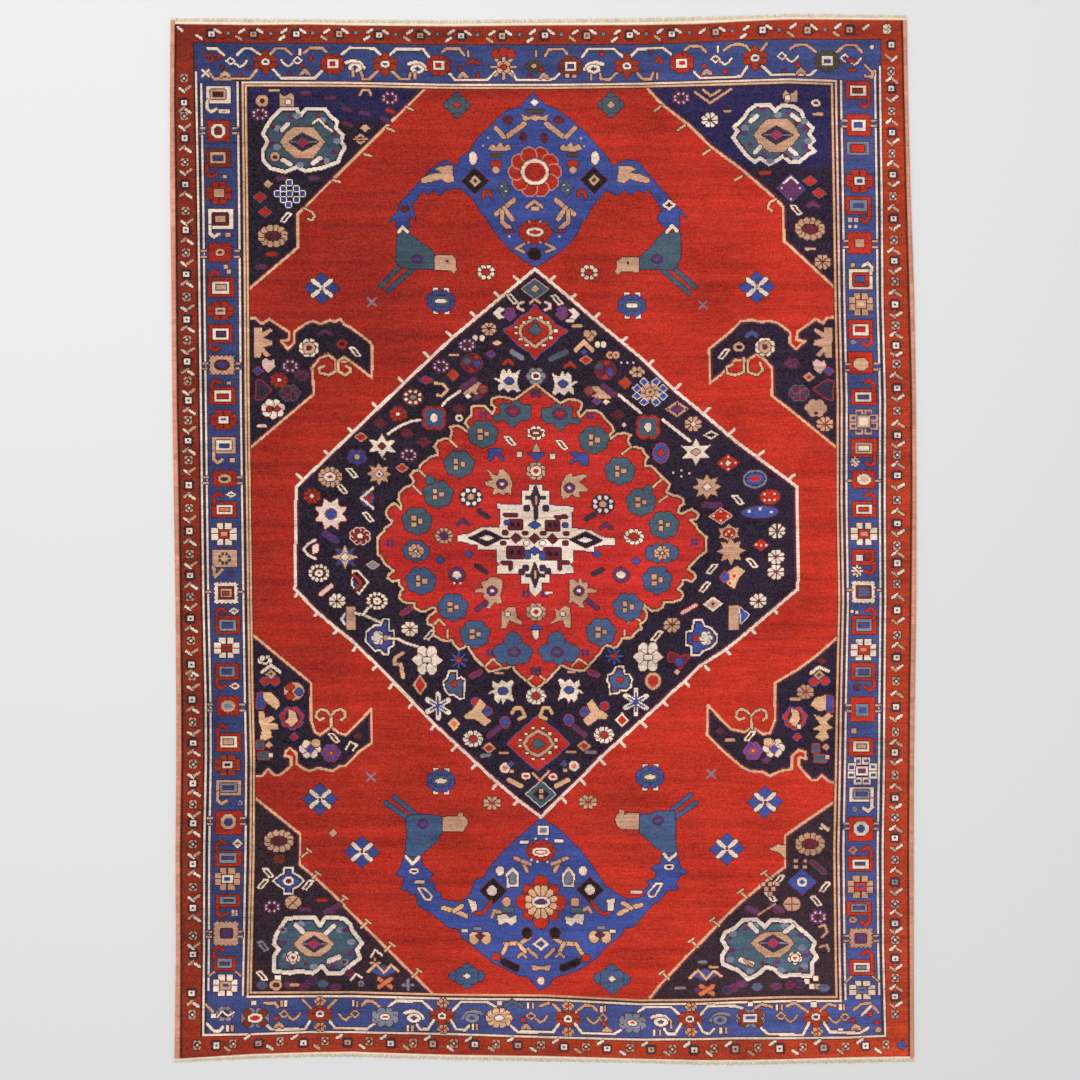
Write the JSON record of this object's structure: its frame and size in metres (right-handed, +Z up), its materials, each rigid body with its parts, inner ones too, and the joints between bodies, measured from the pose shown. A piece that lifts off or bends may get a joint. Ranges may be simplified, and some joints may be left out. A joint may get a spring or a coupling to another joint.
{
  "type": "knotted wool kazak rug",
  "caption": "Hand-knotted wool rug lying flat, red field with a navy medallion, blue border, wrapped side edges and short cut fringe at both ends.",
  "frame": {"origin": "middle of the rug's bounding box, on the floor under it", "axes": "+X across the rug to the right, +Y along the rug to its upper end, +Z up out of the pile"},
  "size_m": [2.1298, 2.9984, 0.0095],
  "materials": {
    "pile_wool": "short knotted wool pile, matt with a slight sheen",
    "selvedge_wool": "wrapped wool yarn, matt",
    "fringe_yarn": "undyed wool warp ends, matt"
  },
  "bodies": {
    "root": {"rug_pile": "pile_wool", "selvedge_left": "selvedge_wool", "selvedge_right": "selvedge_wool", "fringe_top": "fringe_yarn", "fringe_bottom": "fringe_yarn"}
  },
  "joints": []
}
